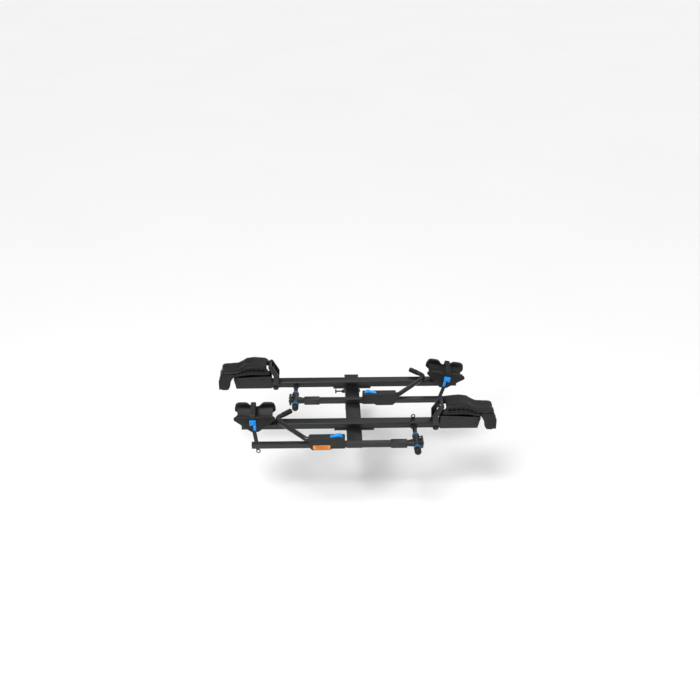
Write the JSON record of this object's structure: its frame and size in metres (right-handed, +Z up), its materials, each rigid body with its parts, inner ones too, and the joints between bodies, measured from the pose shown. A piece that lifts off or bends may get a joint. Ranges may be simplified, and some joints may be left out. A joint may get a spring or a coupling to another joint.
{
  "type": "hitch mounted bike rack",
  "caption": "Platform bike rack on a tilting, folding spine that slides into a hitch receiver; each tray has a folding hook arm, front wheel cradle and rear ladder strap.",
  "frame": {"origin": "centre of the hitch pin hole in the tongue", "axes": "+Y towards the vehicle along the tongue, +Z up, +X to the right as seen from behind the vehicle"},
  "size_m": [1.412, 0.9083, 0.3644],
  "materials": {
    "black_frame": "satin black powder coat",
    "black_arm": "satin black powder coat",
    "black_plastic": "textured black moulding",
    "handle_plastic": "fine-textured dark grey moulding",
    "strap_rubber": "flexible black strap",
    "black_rubber": "matt black rubber",
    "blue_plastic": "bright blue moulding",
    "blue_bush": "darker blue bearing plastic",
    "black_bolt": "black oxide steel",
    "label_orange": "orange sticker"
  },
  "bodies": {
    "hitch": {"hitch_tongue": "black_frame", "tongue_plug": "black_plastic", "pivot_cheeks": "black_frame", "pivot_bolt": "black_bolt", "pivot_nut": "black_bolt"},
    "lock_pin": {"lock_pin": "black_bolt"},
    "spine": {"pivot_quadrants": "black_frame", "spine_beam": "black_frame", "spine_caps": "black_plastic", "rail_saddles": "black_frame", "saddle_bolts": "black_bolt", "inner_rail": "black_frame", "outer_rail": "black_frame", "rail_caps": "black_plastic", "inner_trough": "black_frame", "outer_trough": "black_frame", "trough_screws": "black_bolt", "hinge_pins": "black_bolt", "inner_pivot_rod": "black_arm", "outer_pivot_rod": "black_arm", "rod_caps": "black_plastic", "lock_loop": "black_bolt"},
    "inner_arm": {"inner_knuckle": "black_arm", "inner_bushes": "blue_bush", "inner_end_plate": "black_arm", "inner_arm_tube": "black_arm", "inner_arm_plug": "black_plastic", "inner_arm_sleeve": "black_arm", "inner_arm_bolts": "black_bolt"},
    "inner_handle": {"inner_handle_shell": "handle_plastic", "inner_handle_cover": "handle_plastic", "inner_hook": "black_arm", "inner_hook_pad": "black_rubber"},
    "inner_trigger": {"inner_trigger": "blue_plastic"},
    "inner_front_cradle": {"inner_front_cradle": "black_plastic"},
    "inner_hoop": {"inner_hoop": "black_arm"},
    "inner_rear_slider": {"inner_rear_slider": "black_plastic"},
    "inner_rear_cradle": {"inner_rear_cradle": "black_plastic", "inner_ladder_strap": "strap_rubber", "inner_buckle": "blue_plastic"},
    "inner_buckle_lever": {"inner_buckle_lever": "blue_plastic"},
    "outer_arm": {"outer_knuckle": "black_arm", "outer_bushes": "blue_bush", "outer_end_plate": "black_arm", "outer_arm_tube": "black_arm", "outer_arm_plug": "black_plastic", "outer_arm_sleeve": "black_arm", "outer_arm_bolts": "black_bolt"},
    "outer_handle": {"outer_handle_shell": "handle_plastic", "outer_handle_cover": "handle_plastic", "outer_hook": "black_arm", "outer_hook_pad": "black_rubber"},
    "outer_trigger": {"outer_trigger": "blue_plastic"},
    "outer_front_cradle": {"outer_front_cradle": "black_plastic"},
    "outer_hoop": {"outer_hoop": "black_arm"},
    "outer_rear_slider": {"outer_rear_slider": "black_plastic"},
    "outer_rear_cradle": {"outer_rear_cradle": "black_plastic", "outer_ladder_strap": "strap_rubber", "outer_buckle": "blue_plastic"},
    "outer_buckle_lever": {"outer_buckle_lever": "blue_plastic"}
  },
  "joints": [
    {"name": "spine_tilt", "type": "hinge", "parent": "hitch", "child": "spine", "pos_m": [0, -0.122, 0.084], "axis": [1, 0, 0], "range_deg": [-90, 25]},
    {"name": "lock_pin_pull", "type": "slide", "parent": "hitch", "child": "lock_pin", "axis": [-1, 0, 0], "range_m": [0, 0.06], "stiffness_N_per_m": 200, "springref_m": -0.02},
    {"name": "inner_arm_swing", "type": "hinge", "parent": "spine", "child": "inner_arm", "pos_m": [-0.3, -0.366, 0.196], "axis": [0, -1, 0], "range_deg": [0, 100]},
    {"name": "inner_handle_slide", "type": "slide", "parent": "inner_arm", "child": "inner_handle", "axis": [1, 0, 0], "range_m": [-0.075, 0.02]},
    {"name": "inner_trigger_press", "type": "hinge", "parent": "inner_handle", "child": "inner_trigger", "pos_m": [0.117, -0.37, 0.233], "axis": [0, -1, 0], "range_deg": [0, 6], "stiffness_Nm_per_rad": 1.5, "springref_deg": -5.73},
    {"name": "inner_cradle_fold", "type": "hinge", "parent": "spine", "child": "inner_front_cradle", "pos_m": [-0.618, -0.212, 0.232], "axis": [0, -1, 0], "range_deg": [0, 90]},
    {"name": "inner_hoop_swing", "type": "hinge", "parent": "spine", "child": "inner_hoop", "pos_m": [-0.408, -0.212, 0.194], "axis": [0, 1, 0], "range_deg": [0, 60]},
    {"name": "inner_rear_slide", "type": "slide", "parent": "spine", "child": "inner_rear_slider", "axis": [1, 0, 0], "range_m": [-0.02, 0.035]},
    {"name": "inner_rear_rock", "type": "hinge", "parent": "inner_rear_slider", "child": "inner_rear_cradle", "pos_m": [0.495, -0.212, 0.232], "axis": [0, 1, 0], "range_deg": [-18, 2]},
    {"name": "inner_lever_open", "type": "hinge", "parent": "inner_rear_cradle", "child": "inner_buckle_lever", "pos_m": [0.49328, -0.271, 0.23088], "axis": [-0.9848, 0, 0.1736], "range_deg": [0, 50]},
    {"name": "outer_arm_swing", "type": "hinge", "parent": "spine", "child": "outer_arm", "pos_m": [0.3, -0.741, 0.196], "axis": [0, 1, 0], "range_deg": [0, 100]},
    {"name": "outer_handle_slide", "type": "slide", "parent": "outer_arm", "child": "outer_handle", "axis": [-1, 0, 0], "range_m": [-0.215, 0.02]},
    {"name": "outer_trigger_press", "type": "hinge", "parent": "outer_handle", "child": "outer_trigger", "pos_m": [-0.117, -0.745, 0.233], "axis": [0, 1, 0], "range_deg": [0, 6], "stiffness_Nm_per_rad": 1.5, "springref_deg": -5.73},
    {"name": "outer_cradle_fold", "type": "hinge", "parent": "spine", "child": "outer_front_cradle", "pos_m": [0.618, -0.587, 0.232], "axis": [0, 1, 0], "range_deg": [0, 90]},
    {"name": "outer_hoop_swing", "type": "hinge", "parent": "spine", "child": "outer_hoop", "pos_m": [0.408, -0.587, 0.194], "axis": [0, -1, 0], "range_deg": [0, 60]},
    {"name": "outer_rear_slide", "type": "slide", "parent": "spine", "child": "outer_rear_slider", "axis": [-1, 0, 0], "range_m": [-0.02, 0.035]},
    {"name": "outer_rear_rock", "type": "hinge", "parent": "outer_rear_slider", "child": "outer_rear_cradle", "pos_m": [-0.495, -0.587, 0.232], "axis": [0, 1, 0], "range_deg": [-8, 8]},
    {"name": "outer_lever_open", "type": "hinge", "parent": "outer_rear_cradle", "child": "outer_buckle_lever", "pos_m": [-0.4935, -0.646, 0.2306], "axis": [-1, 0, 0], "range_deg": [0, 50]}
  ]
}
